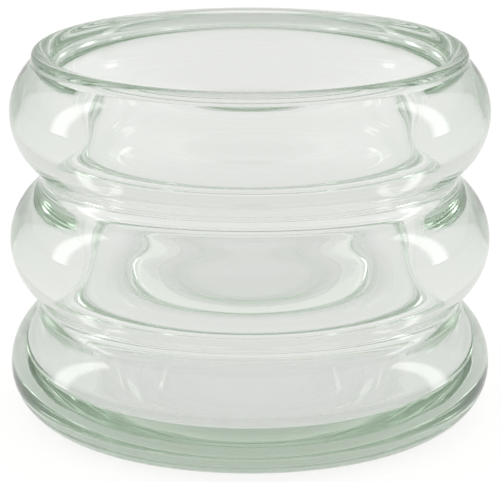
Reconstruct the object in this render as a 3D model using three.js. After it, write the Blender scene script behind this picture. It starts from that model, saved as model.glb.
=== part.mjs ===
// Glass votive holder: one piece of thick clear glass, blown into a mould shaped as a stack of
// rounded rings. The wall of the candle cup inside swells out a little into each ring, the base
// is thick and slightly hollow underneath, and a short lip stands at the mouth.
// Millimetres, +Z up. The origin is the centre of the ring that the glass stands on.

import * as THREE from 'three';

// Rings: the rounded tiers that give the outside its shape
const RING_COUNT = 3;
const BODY_RADIUS = 45.0;          // centre line to the widest point of the lowest ring
const RING_NARROWING = 0.3;        // how much each ring is set in from the one below it
const RING_PITCH = 24.0;           // height from one ring to the next
const RING_SECTION_RADIUS = 12.7;  // roundness of a ring, seen in section
const GROOVE_FILLET = 2.5;         // roundness of the groove between two rings

// Foot: the lower half of the lowest ring turns in tighter and ends in a narrow flat ring to
// stand on, round a shallow hollow in the underside
const FOOT_SECTION_RADIUS = 10.0;  // roundness of the lowest ring's lower half
const SEAT_CUT = 0.7;              // height that the flat standing ring takes off that round
const FOOT_FILLET = 3.75;          // rounding from the side into the standing ring
const HOLLOW_RADIUS = 35.1;        // from the axis out to the standing ring
const HOLLOW_DEPTH = 2.4;          // how far the middle of the underside is raised
const HOLLOW_FULLNESS = 2.8;       // how flat the hollow's middle is: 2 is a plain bowl shape

// Lip: the short upright band above the top ring
const LIP_INSET = 4.2;             // from the top ring's widest point in to the band's outside
const LIP_WALL = 4.15;              // thickness of the band
const LIP_HEIGHT = 2.1;            // height of the band above the top ring
const LIP_ROOT_FILLET = 0.3;       // where the band meets the top ring
const LIP_OUTER_ROUNDING = 1.2;    // fire-polished edge on the outside
const LIP_INNER_ROUNDING = 2.7;    // wider fire-polished edge on the inside

// Cup: the hollow that the candle stands in. Its wall tapers slightly and swells out into each
// ring, with the crest of the swelling a little above the ring's middle. Where there are three
// values, they are for the three rings, lowest first
const GROOVE_WALL = 3.5;           // glass between the bottom of the top groove and the cup's taper
const CUP_TAPER = 0.75;            // how much narrower the cup is at its floor than at its mouth
const SWELLINGS = [1.65, 2.2, 1.35];             // how much wider the cup is in each ring
const SWELLING_LIFTS = [3.5, 3.5, 3.25];         // height of each crest above its ring's middle
const SWELLING_REACHES_DOWN = [15.4, 15.4, 9.25];  // from a crest down to where it has died out
const SWELLING_REACHES_UP = [10.9, 10.9, 9.1];   // from a crest up to where it has died out
const FLOOR_HEIGHT = 6.8;          // the cup's floor above the standing ring
const CORNER_WIDTH = 6.9;          // rounding between wall and floor, measured across
const CORNER_HEIGHT = 3.8;         // the same rounding, measured up

// Fineness of the faceted solid
const TURN_SEGMENTS = 64;
const RING_STEPS = 10;
const FILLET_STEPS = 4;
const WALL_STEPS = 18;
const CORNER_STEPS = 6;
const HOLLOW_STEPS = 6;

// Where the rings stand, and the centres of their round sections
const lowestRingHeight = FOOT_SECTION_RADIUS - SEAT_CUT;
const ringHeight = (index) => lowestRingHeight + index * RING_PITCH;
const topRingHeight = ringHeight(RING_COUNT - 1);
const ringRadius = (index) => BODY_RADIUS - index * RING_NARROWING;
const sectionCentreRadius = (index) => ringRadius(index) - RING_SECTION_RADIUS;

// Lip and mouth, measured in from the top ring
const lipRadius = ringRadius(RING_COUNT - 1) - LIP_INSET;
const mouthRadius = lipRadius - LIP_WALL;

// Adds points along an arc to an outline. Angles are measured from the outward radial
// direction, counted positive upwards. The first point is left out where the arc carries on
// from the point before it.
function addArc(outline, centreRadius, centreHeight, radius, startAngle, endAngle, steps, skipFirst) {
  for (let step = skipFirst ? 1 : 0; step <= steps; step += 1) {
    const angle = startAngle + ((endAngle - startAngle) * step) / steps;
    outline.push(new THREE.Vector2(
      centreRadius + radius * Math.cos(angle),
      centreHeight + radius * Math.sin(angle),
    ));
  }
}

// Underside and foot: the hollow, then flat out to the foot fillet, which runs tangentially into
// the lower half of the lowest ring
function addFoot(outline) {
  const centreRadius = BODY_RADIUS - FOOT_SECTION_RADIUS;
  const rise = lowestRingHeight - FOOT_FILLET;
  const reach = Math.sqrt((FOOT_SECTION_RADIUS - FOOT_FILLET) ** 2 - rise ** 2);
  const meetingAngle = Math.atan2(-rise, reach);
  for (let step = 0; step <= HOLLOW_STEPS; step += 1) {
    const share = step / HOLLOW_STEPS;
    outline.push(new THREE.Vector2(
      HOLLOW_RADIUS * share, HOLLOW_DEPTH * (1 - share ** HOLLOW_FULLNESS),
    ));
  }
  addArc(outline, centreRadius + reach, FOOT_FILLET, FOOT_FILLET,
    -Math.PI / 2, meetingAngle, FILLET_STEPS, false);
  addArc(outline, centreRadius, lowestRingHeight, FOOT_SECTION_RADIUS,
    meetingAngle, 0, RING_STEPS / 2, true);
}

// The groove above a ring: its fillet touches that ring and the next one, so its centre lies
// outside the middle of the line between the two section centres
function grooveAbove(index) {
  const runIn = sectionCentreRadius(index + 1) - sectionCentreRadius(index);
  const span = Math.hypot(runIn, RING_PITCH);
  const reach = Math.sqrt((RING_SECTION_RADIUS + GROOVE_FILLET) ** 2 - (span / 2) ** 2);
  const centreRadius = sectionCentreRadius(index) + runIn / 2 + (reach * RING_PITCH) / span;
  const centreHeight = ringHeight(index) + RING_PITCH / 2 - (reach * runIn) / span;
  const angleFrom = (ring) => Math.atan2(
    centreHeight - ringHeight(ring), centreRadius - sectionCentreRadius(ring),
  );
  return {
    centreRadius,
    centreHeight,
    angleFromBelow: angleFrom(index),
    angleFromAbove: angleFrom(index + 1),
  };
}

// Outside of the rings, from the widest point of the lowest one to the root of the lip
function addRings(outline, lipAngle) {
  let startAngle = 0;
  for (let index = 0; index < RING_COUNT; index += 1) {
    const isTop = index === RING_COUNT - 1;
    const groove = isTop ? null : grooveAbove(index);
    addArc(outline, sectionCentreRadius(index), ringHeight(index), RING_SECTION_RADIUS,
      startAngle, isTop ? lipAngle : groove.angleFromBelow, RING_STEPS, true);
    if (!isTop) {
      addArc(outline, groove.centreRadius, groove.centreHeight, GROOVE_FILLET,
        Math.PI + groove.angleFromBelow, Math.PI + groove.angleFromAbove, FILLET_STEPS, true);
      startAngle = groove.angleFromAbove;
    }
  }
}

// The lip's root fillet stands on the top ring, so its height follows from both
function lipRoot() {
  const centreRadius = lipRadius + LIP_ROOT_FILLET;
  const run = centreRadius - sectionCentreRadius(RING_COUNT - 1);
  const rise = Math.sqrt((RING_SECTION_RADIUS + LIP_ROOT_FILLET) ** 2 - run ** 2);
  return {
    centreRadius,
    centreHeight: topRingHeight + rise,
    angle: Math.atan2(rise, run),
  };
}

// Lip: root fillet, upright band, and the rounded edges on both sides of the mouth
function addLip(outline, root, rimHeight) {
  addArc(outline, root.centreRadius, root.centreHeight, LIP_ROOT_FILLET,
    Math.PI + root.angle, Math.PI, FILLET_STEPS, true);
  addArc(outline, lipRadius - LIP_OUTER_ROUNDING, rimHeight - LIP_OUTER_ROUNDING,
    LIP_OUTER_ROUNDING, 0, Math.PI / 2, FILLET_STEPS, false);
  addArc(outline, mouthRadius + LIP_INNER_ROUNDING, rimHeight - LIP_INNER_ROUNDING,
    LIP_INNER_ROUNDING, Math.PI / 2, Math.PI, FILLET_STEPS, false);
}

// How far the swelling in one ring widens the cup at a height
function swelling(index, height) {
  const fromCrest = height - ringHeight(index) - SWELLING_LIFTS[index];
  const reach = fromCrest > 0 ? SWELLING_REACHES_UP[index] : SWELLING_REACHES_DOWN[index];
  const share = Math.min(Math.abs(fromCrest) / reach, 1);
  return (SWELLINGS[index] * (1 + Math.cos(Math.PI * share))) / 2;
}

// Radius of the cup's wall at a height. Above the top crest the wall eases into the mouth.
function cupRadius(height, wallTop, wallBottom) {
  const crestHeight = topRingHeight + SWELLING_LIFTS[RING_COUNT - 1];
  if (height > crestHeight) {
    const crestRadius = cupRadius(crestHeight, wallTop, wallBottom);
    const easing = (1 + Math.cos((Math.PI * (height - crestHeight)) / (wallTop - crestHeight))) / 2;
    return mouthRadius + (crestRadius - mouthRadius) * easing;
  }
  const topGroove = grooveAbove(RING_COUNT - 2);
  const radiusAtGroove = topGroove.centreRadius - GROOVE_FILLET - GROOVE_WALL;
  const lean = CUP_TAPER / (wallTop - wallBottom);
  let radius = radiusAtGroove + lean * (height - topGroove.centreHeight);
  for (let index = 0; index < RING_COUNT; index += 1) {
    radius += swelling(index, height);
  }
  return radius;
}

// Cup: the wall, the rounded corner, which is wider than it is high, and the flat floor
function addCup(outline, rimHeight) {
  const wallTop = rimHeight - LIP_INNER_ROUNDING;
  const wallBottom = FLOOR_HEIGHT + CORNER_HEIGHT;
  for (let step = 1; step <= WALL_STEPS; step += 1) {
    const height = wallTop + ((wallBottom - wallTop) * step) / WALL_STEPS;
    outline.push(new THREE.Vector2(cupRadius(height, wallTop, wallBottom), height));
  }
  const floorRadius = cupRadius(wallBottom, wallTop, wallBottom) - CORNER_WIDTH;
  for (let step = 1; step <= CORNER_STEPS; step += 1) {
    const angle = (Math.PI / 2) * (step / CORNER_STEPS);
    outline.push(new THREE.Vector2(
      floorRadius + CORNER_WIDTH * Math.cos(angle),
      wallBottom - CORNER_HEIGHT * Math.sin(angle),
    ));
  }
  outline.push(new THREE.Vector2(0, FLOOR_HEIGHT));
}

function glassBodyGeometry() {
  const outline = [];
  const root = lipRoot();
  const rimHeight = root.centreHeight + LIP_HEIGHT;
  addFoot(outline);
  addRings(outline, root.angle);
  addLip(outline, root, rimHeight);
  addCup(outline, rimHeight);
  const geometry = new THREE.LatheGeometry(outline, TURN_SEGMENTS);
  geometry.rotateX(Math.PI / 2);
  return geometry;
}

const clearGlass = new THREE.MeshStandardMaterial({
  color: 0xdfe5dd,
  roughness: 0.03,
  metalness: 0.0,
  transparent: true,
  opacity: 0.35,
});

const glassBody = new THREE.Mesh(glassBodyGeometry(), clearGlass);
glassBody.name = 'glass_body';

const votiveHolder = new THREE.Group();
votiveHolder.name = 'votive_holder';
votiveHolder.add(glassBody);

export default votiveHolder;
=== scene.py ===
import math

import bpy
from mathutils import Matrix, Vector


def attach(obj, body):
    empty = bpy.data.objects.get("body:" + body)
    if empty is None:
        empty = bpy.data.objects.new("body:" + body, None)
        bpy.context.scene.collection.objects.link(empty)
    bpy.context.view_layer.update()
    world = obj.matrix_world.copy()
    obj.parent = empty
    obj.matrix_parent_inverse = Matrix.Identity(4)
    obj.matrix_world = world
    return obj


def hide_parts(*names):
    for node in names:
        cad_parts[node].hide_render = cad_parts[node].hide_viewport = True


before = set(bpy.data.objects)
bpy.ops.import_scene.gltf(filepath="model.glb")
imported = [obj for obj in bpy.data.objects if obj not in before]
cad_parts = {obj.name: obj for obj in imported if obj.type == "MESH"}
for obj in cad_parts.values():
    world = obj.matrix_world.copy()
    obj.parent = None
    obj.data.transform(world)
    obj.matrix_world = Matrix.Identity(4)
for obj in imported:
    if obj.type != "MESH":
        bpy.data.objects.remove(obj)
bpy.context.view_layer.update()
bpy.ops.object.select_all(action="DESELECT")

# Glass body
# The real holder is one piece of thick soda-lime glass, gathered hot and blown into a turned mould.
# The mould gives the outside its three round rings; the cup's wall inside swells out a little into
# each ring, as free glass does, and the mouth is polished by flame to soft edges.

MM = 0.001

# Rings and grooves of the outside
ring_count = 3
body_radius = 45.0 * MM
ring_narrowing = 0.3 * MM
ring_pitch = 24.0 * MM
ring_section = 12.7 * MM
groove_fillet = 2.5 * MM

# Foot, with a shallow hollow in its underside that leaves a narrow ring to stand on. A fullness
# of 2 would give the hollow a plain bowl shape, and more makes its middle flatter
foot_section = 10.0 * MM
seat_cut = 0.7 * MM
foot_fillet = 3.75 * MM
hollow_radius = 35.1 * MM
hollow_depth = 2.4 * MM
hollow_fullness = 2.8

# Lip
lip_inset = 4.2 * MM
lip_wall = 4.15 * MM
lip_height = 2.1 * MM
lip_root_fillet = 0.3 * MM
lip_outer_rounding = 1.2 * MM
lip_inner_rounding = 2.7 * MM

# Cup. Where there are three values, they are for the three rings, lowest first
groove_wall = 3.5 * MM
cup_taper = 0.75 * MM
swellings = (1.65 * MM, 2.2 * MM, 1.35 * MM)
swelling_lifts = (3.5 * MM, 3.5 * MM, 3.25 * MM)
swelling_reaches_down = (15.4 * MM, 15.4 * MM, 9.25 * MM)
swelling_reaches_up = (10.9 * MM, 10.9 * MM, 9.1 * MM)
floor_height = 6.8 * MM
corner_width = 6.9 * MM
corner_height = 3.8 * MM

# Fineness of the outline and of its turn round the axis
hollow_steps = 24
standing_ring_steps = 3
foot_fillet_steps = 10
foot_steps = 12
ring_steps = 28
groove_steps = 10
lip_root_steps = 5
lip_edge_steps = 8
lip_top_steps = 3
wall_steps = 72
corner_steps = 24
floor_steps = 10
turn_steps = 320
merge_distance = 0.0005 * MM

# Places that follow from those sizes
quarter_turn = math.pi / 2
lowest_ring_height = foot_section - seat_cut
top_ring = ring_count - 1
lip_radius = body_radius - top_ring * ring_narrowing - lip_inset
mouth_radius = lip_radius - lip_wall


def ring_height(ring):
    return lowest_ring_height + ring * ring_pitch


def section_centre(ring):
    return body_radius - ring * ring_narrowing - ring_section


# The outline is drawn in the XZ plane as a glass cutter's template: one corner is drawn out along
# the flats, turned round the centres of the fillets and rings, and stepped down the wavy wall.
# It starts as a small square, merged to a single corner in the middle of the hollow underside.
bpy.ops.mesh.primitive_plane_add(size=MM, location=(0, 0, 0))
glass_body = bpy.context.object
glass_body.name = "glass_body_smooth"
bpy.ops.object.mode_set(mode="EDIT")
bpy.ops.mesh.select_mode(type="VERT")
bpy.ops.mesh.select_all(action="SELECT")
bpy.ops.mesh.merge(type="CENTER")
bpy.ops.transform.translate(value=(0, 0, hollow_depth))

pen = Vector((0, 0, hollow_depth))


def draw_to(radius, height, steps=1):
    """Draws the outline on to a point in straight steps."""
    stride = (Vector((radius, 0, height)) - pen) / steps
    for _ in range(steps):
        bpy.ops.mesh.extrude_vertices_move(TRANSFORM_OT_translate={"value": stride})
    pen.xyz = (radius, 0, height)


def turn_round(centre_radius, centre_height, angle, steps):
    """Turns the outline's end round a centre by an angle, counted from outward to upward."""
    centre = (centre_radius, 0, centre_height)
    bpy.ops.mesh.spin(steps=steps, angle=angle, center=centre, axis=(0, 1, 0))
    arm_x = pen.x - centre_radius
    arm_z = pen.z - centre_height
    pen.x = centre_radius + arm_x * math.cos(angle) - arm_z * math.sin(angle)
    pen.z = centre_height + arm_x * math.sin(angle) + arm_z * math.cos(angle)


# Hollow of the underside, then the ring it stands on, the foot fillet, and the tighter lower half of
# the lowest ring
for step in range(1, hollow_steps + 1):
    share = step / hollow_steps
    draw_to(hollow_radius * share, hollow_depth * (1 - share ** hollow_fullness))
foot_centre = body_radius - foot_section
foot_rise = lowest_ring_height - foot_fillet
foot_reach = math.sqrt((foot_section - foot_fillet) ** 2 - foot_rise ** 2)
foot_meeting = math.atan2(-foot_rise, foot_reach)
draw_to(foot_centre + foot_reach, 0, standing_ring_steps)
turn_round(foot_centre + foot_reach, foot_fillet, foot_meeting + quarter_turn, foot_fillet_steps)
turn_round(foot_centre, lowest_ring_height, -foot_meeting, foot_steps)

# Root of the lip on the top ring
root_radius = lip_radius + lip_root_fillet
root_run = root_radius - section_centre(top_ring)
root_rise = math.sqrt((ring_section + lip_root_fillet) ** 2 - root_run ** 2)
root_angle = math.atan2(root_rise, root_run)

# Rings, each turned from its groove below to its groove above
start_angle = 0.0
for ring in range(top_ring):
    run_in = section_centre(ring + 1) - section_centre(ring)
    span = math.hypot(run_in, ring_pitch)
    reach = math.sqrt((ring_section + groove_fillet) ** 2 - (span / 2) ** 2)
    groove_centre = section_centre(ring) + run_in / 2 + reach * ring_pitch / span
    groove_height = ring_height(ring) + ring_pitch / 2 - reach * run_in / span
    from_below = math.atan2(groove_height - ring_height(ring), groove_centre - section_centre(ring))
    from_above = math.atan2(groove_height - ring_height(ring + 1),
                            groove_centre - section_centre(ring + 1))
    turn_round(section_centre(ring), ring_height(ring), from_below - start_angle, ring_steps)
    turn_round(groove_centre, groove_height, from_above - from_below, groove_steps)
    start_angle = from_above
turn_round(section_centre(top_ring), ring_height(top_ring), root_angle - start_angle, ring_steps)

# Lip, with the flame-polished edges on both sides of the mouth
root_height = ring_height(top_ring) + root_rise
rim_height = root_height + lip_height
outer_edge_radius = lip_radius - lip_outer_rounding
outer_edge_height = rim_height - lip_outer_rounding
inner_edge_radius = mouth_radius + lip_inner_rounding
inner_edge_height = rim_height - lip_inner_rounding
turn_round(root_radius, root_height, -root_angle, lip_root_steps)
draw_to(lip_radius, outer_edge_height)
turn_round(outer_edge_radius, outer_edge_height, quarter_turn, lip_edge_steps)
draw_to(inner_edge_radius, rim_height, lip_top_steps)
turn_round(inner_edge_radius, inner_edge_height, quarter_turn, lip_edge_steps)

# Cup wall: a slight taper that swells out into each ring and eases into the mouth above the top crest
wall_top = inner_edge_height
wall_bottom = floor_height + corner_height
top_crest = ring_height(top_ring) + swelling_lifts[top_ring]


def swelling(ring, height):
    """How far the swelling in one ring widens the cup at a height."""
    from_crest = height - ring_height(ring) - swelling_lifts[ring]
    reach = swelling_reaches_up[ring] if from_crest > 0 else swelling_reaches_down[ring]
    return swellings[ring] * (1 + math.cos(math.pi * min(abs(from_crest) / reach, 1))) / 2


def cup_radius(height):
    if height > top_crest:
        easing = (1 + math.cos(math.pi * (height - top_crest) / (wall_top - top_crest))) / 2
        return mouth_radius + (cup_radius(top_crest) - mouth_radius) * easing
    # The loop over the rings has left the centre of the top groove in these names
    radius_at_groove = groove_centre - groove_fillet - groove_wall
    lean = cup_taper / (wall_top - wall_bottom)
    widening = sum(swelling(ring, height) for ring in range(ring_count))
    return radius_at_groove + lean * (height - groove_height) + widening


for step in range(1, wall_steps + 1):
    height = wall_top + (wall_bottom - wall_top) * step / wall_steps
    draw_to(cup_radius(height), height)

# Rounded corner, wider than it is high, and the flat floor
floor_radius = cup_radius(wall_bottom) - corner_width
for step in range(1, corner_steps + 1):
    angle = quarter_turn * step / corner_steps
    draw_to(floor_radius + corner_width * math.cos(angle),
            wall_bottom - corner_height * math.sin(angle))
draw_to(0, floor_height, floor_steps)

# The finished template is turned once round the upright axis, and the seam and poles are closed
bpy.ops.mesh.select_all(action="SELECT")
bpy.ops.mesh.spin(steps=turn_steps, angle=2 * math.pi, center=(0, 0, 0), axis=(0, 0, 1))
bpy.ops.mesh.select_all(action="SELECT")
bpy.ops.mesh.remove_doubles(threshold=merge_distance)
bpy.ops.mesh.normals_make_consistent(inside=False)
bpy.ops.object.mode_set(mode="OBJECT")
bpy.ops.object.shade_smooth()

# Clear glass: colourless to the eye where it is thin, grey-green where light runs along it
glass_colour = (1.0, 1.0, 1.0, 1.0)
glass_refraction = 1.5
tint_colour = (0.635, 0.73, 0.64, 1.0)
tint_density = 20.0
clear_glass = bpy.data.materials.new("clear_glass")
clear_glass.use_nodes = True
glass_nodes = clear_glass.node_tree.nodes
glass_links = clear_glass.node_tree.links
glass_shader = glass_nodes["Principled BSDF"]
glass_output = glass_nodes["Material Output"]
glass_shader.inputs["Base Color"].default_value = glass_colour
glass_shader.inputs["Roughness"].default_value = 0.0
glass_shader.inputs["IOR"].default_value = glass_refraction
glass_shader.inputs["Transmission Weight"].default_value = 1.0
glass_tint = glass_nodes.new("ShaderNodeVolumeAbsorption")
glass_tint.inputs["Color"].default_value = tint_colour
glass_tint.inputs["Density"].default_value = tint_density
glass_links.new(glass_tint.outputs["Volume"], glass_output.inputs["Volume"])

# Free glass is never quite even: broad, very shallow waves run over the whole surface
broad_wave_scale = 55.0
broad_wave_detail = 1.0
broad_wave_height = 0.03 * MM
glass_place = glass_nodes.new("ShaderNodeTexCoord")
broad_waves = glass_nodes.new("ShaderNodeTexNoise")
broad_waves.inputs["Scale"].default_value = broad_wave_scale
broad_waves.inputs["Detail"].default_value = broad_wave_detail
glass_links.new(glass_place.outputs["Object"], broad_waves.inputs["Vector"])
broad_bump = glass_nodes.new("ShaderNodeBump")
broad_bump.inputs["Distance"].default_value = broad_wave_height
glass_links.new(broad_waves.outputs["Fac"], broad_bump.inputs["Height"])

# The foot, which cooled against the mould, carries finer waves on its outside, drawn out round the
# axis: a whole radian of turn counts as only a short way. They fade in downwards and outwards
foot_wave_scale = 1300.0
foot_wave_detail = 0.0
foot_wave_height = 0.0025 * MM
way_per_radian = 0.9 * MM
foot_waves_start = 14 * MM
foot_waves_full = 8 * MM
foot_waves_inner = 36.8 * MM
foot_waves_outer = 38 * MM
glass_axes = glass_nodes.new("ShaderNodeSeparateXYZ")
glass_links.new(glass_place.outputs["Object"], glass_axes.inputs["Vector"])
from_axis = glass_nodes.new("ShaderNodeCombineXYZ")
glass_links.new(glass_axes.outputs["X"], from_axis.inputs["X"])
glass_links.new(glass_axes.outputs["Y"], from_axis.inputs["Y"])
distance_out = glass_nodes.new("ShaderNodeVectorMath")
distance_out.operation = "LENGTH"
glass_links.new(from_axis.outputs["Vector"], distance_out.inputs[0])
round_axis = glass_nodes.new("ShaderNodeMath")
round_axis.operation = "ARCTAN2"
glass_links.new(glass_axes.outputs["Y"], round_axis.inputs[0])
glass_links.new(glass_axes.outputs["X"], round_axis.inputs[1])
along_foot = glass_nodes.new("ShaderNodeMath")
along_foot.operation = "MULTIPLY"
along_foot.inputs[1].default_value = way_per_radian
glass_links.new(round_axis.outputs["Value"], along_foot.inputs[0])
foot_place = glass_nodes.new("ShaderNodeCombineXYZ")
glass_links.new(distance_out.outputs["Value"], foot_place.inputs["X"])
glass_links.new(along_foot.outputs["Value"], foot_place.inputs["Y"])
glass_links.new(glass_axes.outputs["Z"], foot_place.inputs["Z"])
foot_waves = glass_nodes.new("ShaderNodeTexNoise")
foot_waves.inputs["Scale"].default_value = foot_wave_scale
foot_waves.inputs["Detail"].default_value = foot_wave_detail
glass_links.new(foot_place.outputs["Vector"], foot_waves.inputs["Vector"])
foot_only = glass_nodes.new("ShaderNodeMapRange")
foot_only.inputs["From Min"].default_value = foot_waves_start
foot_only.inputs["From Max"].default_value = foot_waves_full
glass_links.new(glass_axes.outputs["Z"], foot_only.inputs["Value"])
outside_only = glass_nodes.new("ShaderNodeMapRange")
outside_only.inputs["From Min"].default_value = foot_waves_inner
outside_only.inputs["From Max"].default_value = foot_waves_outer
glass_links.new(distance_out.outputs["Value"], outside_only.inputs["Value"])
foot_outside = glass_nodes.new("ShaderNodeMath")
foot_outside.operation = "MULTIPLY"
glass_links.new(foot_only.outputs["Result"], foot_outside.inputs[0])
glass_links.new(outside_only.outputs["Result"], foot_outside.inputs[1])
foot_ripple = glass_nodes.new("ShaderNodeMath")
foot_ripple.operation = "MULTIPLY"
glass_links.new(foot_waves.outputs["Fac"], foot_ripple.inputs[0])
glass_links.new(foot_outside.outputs["Value"], foot_ripple.inputs[1])
foot_bump = glass_nodes.new("ShaderNodeBump")
foot_bump.inputs["Distance"].default_value = foot_wave_height
glass_links.new(foot_ripple.outputs["Value"], foot_bump.inputs["Height"])
glass_links.new(broad_bump.outputs["Normal"], foot_bump.inputs["Normal"])
glass_links.new(foot_bump.outputs["Normal"], glass_shader.inputs["Normal"])
glass_body.data.materials.append(clear_glass)

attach(glass_body, "root")
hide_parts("glass_body")

# Camera
# It stands where the photograph was taken from, a long lens about half a metre away, looking
# down by some 15 degrees.
view_distance = 505.4 * MM
view_tilt = 0.2673
aim_from = Vector((0, 0, 34.05 * MM))
aim_at = Vector((0, 0, 31.94 * MM))
frame_width_px = 500
px_per_body_radius = 240.54
sensor_width_mm = 36.0
nearest_seen = 0.01
farthest_seen = 50

camera_data = bpy.data.cameras.new("photo_camera")
camera = bpy.data.objects.new("photo_camera", camera_data)
bpy.context.scene.collection.objects.link(camera)
camera.location = aim_from + view_distance * Vector((0, -math.cos(view_tilt), math.sin(view_tilt)))
camera.rotation_euler = (aim_at - camera.location).to_track_quat("-Z", "Y").to_euler()
camera_data.sensor_width = sensor_width_mm
camera_data.lens = (px_per_body_radius / frame_width_px) * (view_distance / body_radius) * sensor_width_mm
camera_data.clip_start = nearest_seen
camera_data.clip_end = farthest_seen
bpy.context.scene.camera = camera

# Table top
# A plain pale table top, large enough to fill every view. Part of its paleness is its own glow,
# so that it stays pale behind and under the glass and still takes the soft shadow.
table_size = 6.0
table_gap = 0.02 * MM
table_colour = (0.22, 0.22, 0.218, 1.0)
glow_colour = (1.0, 1.0, 0.99, 1.0)
bpy.ops.mesh.primitive_plane_add(size=table_size, location=(0, 0, -table_gap))
table_top = bpy.context.object
table_top.name = "table_top"
pale_table = bpy.data.materials.new("pale_table")
pale_table.use_nodes = True
table_nodes = pale_table.node_tree.nodes
table_links = pale_table.node_tree.links
table_shader = table_nodes["Principled BSDF"]
table_shader.inputs["Base Color"].default_value = table_colour
table_shader.inputs["Roughness"].default_value = 1.0
table_shader.inputs["Specular IOR Level"].default_value = 0.0
table_shader.inputs["Emission Color"].default_value = glow_colour

# Painted shade in the table's glow: a slightly dimmer band down its middle, between the lamps at the
# sides
glow_at_sides = 0.68
glow_in_painted_strip = 0.62
strip_inner = 20 * MM
strip_outer = 60 * MM
table_place = table_nodes.new("ShaderNodeTexCoord")
table_axes = table_nodes.new("ShaderNodeSeparateXYZ")
table_links.new(table_place.outputs["Object"], table_axes.inputs["Vector"])
from_middle = table_nodes.new("ShaderNodeMath")
from_middle.operation = "ABSOLUTE"
table_links.new(table_axes.outputs["X"], from_middle.inputs[0])
painted_strip_shade = table_nodes.new("ShaderNodeMapRange")
painted_strip_shade.interpolation_type = "SMOOTHSTEP"
painted_strip_shade.inputs["From Min"].default_value = strip_inner
painted_strip_shade.inputs["From Max"].default_value = strip_outer
painted_strip_shade.inputs["To Min"].default_value = glow_in_painted_strip
painted_strip_shade.inputs["To Max"].default_value = glow_at_sides
table_links.new(from_middle.outputs["Value"], painted_strip_shade.inputs["Value"])

# Painted shade in the table's glow: the far parts, away from the lamps, glow a little dimmer than the
# part round the glass
share_near = 1.0
share_far = 0.9
near_table = 0.4
far_table = 1.6
from_glass = table_nodes.new("ShaderNodeVectorMath")
from_glass.operation = "LENGTH"
table_links.new(table_place.outputs["Object"], from_glass.inputs[0])
painted_far_shade = table_nodes.new("ShaderNodeMapRange")
painted_far_shade.interpolation_type = "SMOOTHSTEP"
painted_far_shade.inputs["From Min"].default_value = near_table
painted_far_shade.inputs["From Max"].default_value = far_table
painted_far_shade.inputs["To Min"].default_value = share_near
painted_far_shade.inputs["To Max"].default_value = share_far
table_links.new(from_glass.outputs["Value"], painted_far_shade.inputs["Value"])
# The table's glow with both painted shades on it
glow_with_painted_shade = table_nodes.new("ShaderNodeMath")
glow_with_painted_shade.operation = "MULTIPLY"
table_links.new(painted_strip_shade.outputs["Result"], glow_with_painted_shade.inputs[0])
table_links.new(painted_far_shade.outputs["Result"], glow_with_painted_shade.inputs[1])

# The rays that the glass sends out meet this glow, and the camera's own rays meet a plain one. The
# light's other bounces meet none, so it lights nothing and the soft shadow stays
glow_to_camera = 0.82
table_rays = table_nodes.new("ShaderNodeLightPath")
glass_rays = table_nodes.new("ShaderNodeMath")
glass_rays.operation = "MAXIMUM"
table_links.new(table_rays.outputs["Is Transmission Ray"], glass_rays.inputs[0])
table_links.new(table_rays.outputs["Is Glossy Ray"], glass_rays.inputs[1])
glow_to_glass = table_nodes.new("ShaderNodeMath")
glow_to_glass.operation = "MULTIPLY"
table_links.new(glass_rays.outputs["Value"], glow_to_glass.inputs[0])
table_links.new(glow_with_painted_shade.outputs["Value"], glow_to_glass.inputs[1])
seen_glow = table_nodes.new("ShaderNodeMath")
seen_glow.operation = "MULTIPLY_ADD"
seen_glow.inputs[1].default_value = glow_to_camera
table_links.new(table_rays.outputs["Is Camera Ray"], seen_glow.inputs[0])
table_links.new(glow_to_glass.outputs["Value"], seen_glow.inputs[2])
table_links.new(seen_glow.outputs["Value"], table_shader.inputs["Emission Strength"])
table_top.data.materials.append(pale_table)

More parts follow.
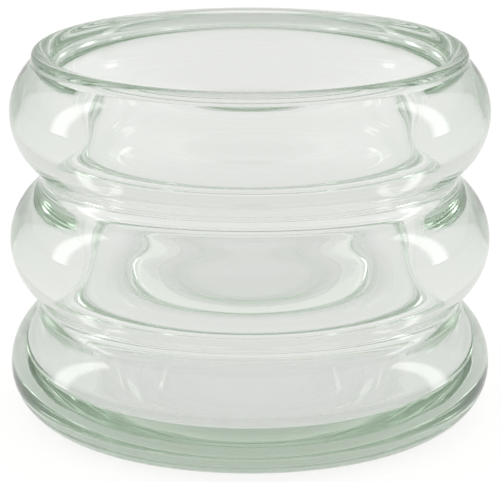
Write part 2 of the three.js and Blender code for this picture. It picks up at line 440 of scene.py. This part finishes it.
# Studio light
# Two tall soft boxes stand left and right of the glass, a little behind it, in a pale room that is
# almost equally light all round.
lamp_distance = 0.6
lamp_azimuth = math.radians(97)
lamp_width = 0.17
lamp_height = 0.58
lamp_foot = 0.03
lamp_power = 1.15
half_width = 0.5
lamp_fade = 0.35
for side, name in ((-1, "left_soft_box"), (1, "right_soft_box")):
    lamp_data = bpy.data.lights.new(name, "AREA")
    lamp_data.shape = "RECTANGLE"
    lamp_data.size = lamp_width
    lamp_data.size_y = lamp_height
    lamp_data.energy = lamp_power
    lamp = bpy.data.objects.new(name, lamp_data)
    bpy.context.scene.collection.objects.link(lamp)
    lamp_middle = Vector((0, 0, lamp_foot + lamp_height / 2))
    to_lamp = Vector((side * math.sin(lamp_azimuth), -math.cos(lamp_azimuth), 0))
    lamp.location = lamp_middle + lamp_distance * to_lamp
    lamp.rotation_euler = (lamp_middle - lamp.location).to_track_quat("-Z", "Y").to_euler()
    # The cloth of the box is brightest along its middle and fades towards both long edges
    lamp_data.use_nodes = True
    lamp_nodes = lamp_data.node_tree.nodes
    lamp_links = lamp_data.node_tree.links
    cloth = lamp_nodes.new("ShaderNodeNewGeometry")
    across = lamp_nodes.new("ShaderNodeSeparateXYZ")
    lamp_links.new(cloth.outputs["Parametric"], across.inputs["Vector"])
    to_edge = lamp_nodes.new("ShaderNodeMath")
    to_edge.operation = "PINGPONG"
    to_edge.inputs[1].default_value = half_width
    lamp_links.new(across.outputs["X"], to_edge.inputs[0])
    fade = lamp_nodes.new("ShaderNodeMapRange")
    fade.interpolation_type = "SMOOTHSTEP"
    fade.inputs["From Max"].default_value = lamp_fade
    lamp_links.new(to_edge.outputs["Value"], fade.inputs["Value"])
    lamp_links.new(fade.outputs["Result"], lamp_nodes["Emission"].inputs["Strength"])

# The room's wall is a little dimmer than its ceiling, and the camera sees it plain white. The shade
# goes by the direction looked in, whose height runs from -1, straight down, to 1, straight up
wall_colour = (0.79, 0.79, 0.77, 1.0)
ceiling_colour = (1.0, 0.99, 0.97, 1.0)
white = (1.0, 1.0, 1.0, 1.0)
wall_up_to = 0.25
ceiling_from = 0.65
world = bpy.data.worlds.new("pale_room")
bpy.context.scene.world = world
world.use_nodes = True
room_nodes = world.node_tree.nodes
room_links = world.node_tree.links
room = room_nodes["Background"]
room_place = room_nodes.new("ShaderNodeTexCoord")
room_axes = room_nodes.new("ShaderNodeSeparateXYZ")
room_links.new(room_place.outputs["Generated"], room_axes.inputs["Vector"])
room_height = room_nodes.new("ShaderNodeMapRange")
room_height.interpolation_type = "SMOOTHSTEP"
room_height.inputs["From Min"].default_value = wall_up_to
room_height.inputs["From Max"].default_value = ceiling_from
room_links.new(room_axes.outputs["Z"], room_height.inputs["Value"])
room_shade = room_nodes.new("ShaderNodeMix")
room_shade.data_type = "RGBA"
room_shade.inputs["A"].default_value = wall_colour
room_shade.inputs["B"].default_value = ceiling_colour
room_links.new(room_height.outputs["Result"], room_shade.inputs["Factor"])
room_rays = room_nodes.new("ShaderNodeLightPath")
room_colour = room_nodes.new("ShaderNodeMix")
room_colour.data_type = "RGBA"
room_links.new(room_shade.outputs["Result"], room_colour.inputs["A"])
room_colour.inputs["B"].default_value = white
room_links.new(room_rays.outputs["Is Camera Ray"], room_colour.inputs["Factor"])
room_links.new(room_colour.outputs["Result"], room.inputs["Color"])

# Light turns many times on its way through the thick foot before it comes out green
longest_path = 48
bpy.context.scene.cycles.max_bounces = longest_path
bpy.context.scene.cycles.transmission_bounces = longest_path
bpy.context.scene.cycles.glossy_bounces = longest_path
bpy.context.scene.view_settings.view_transform = "Standard"
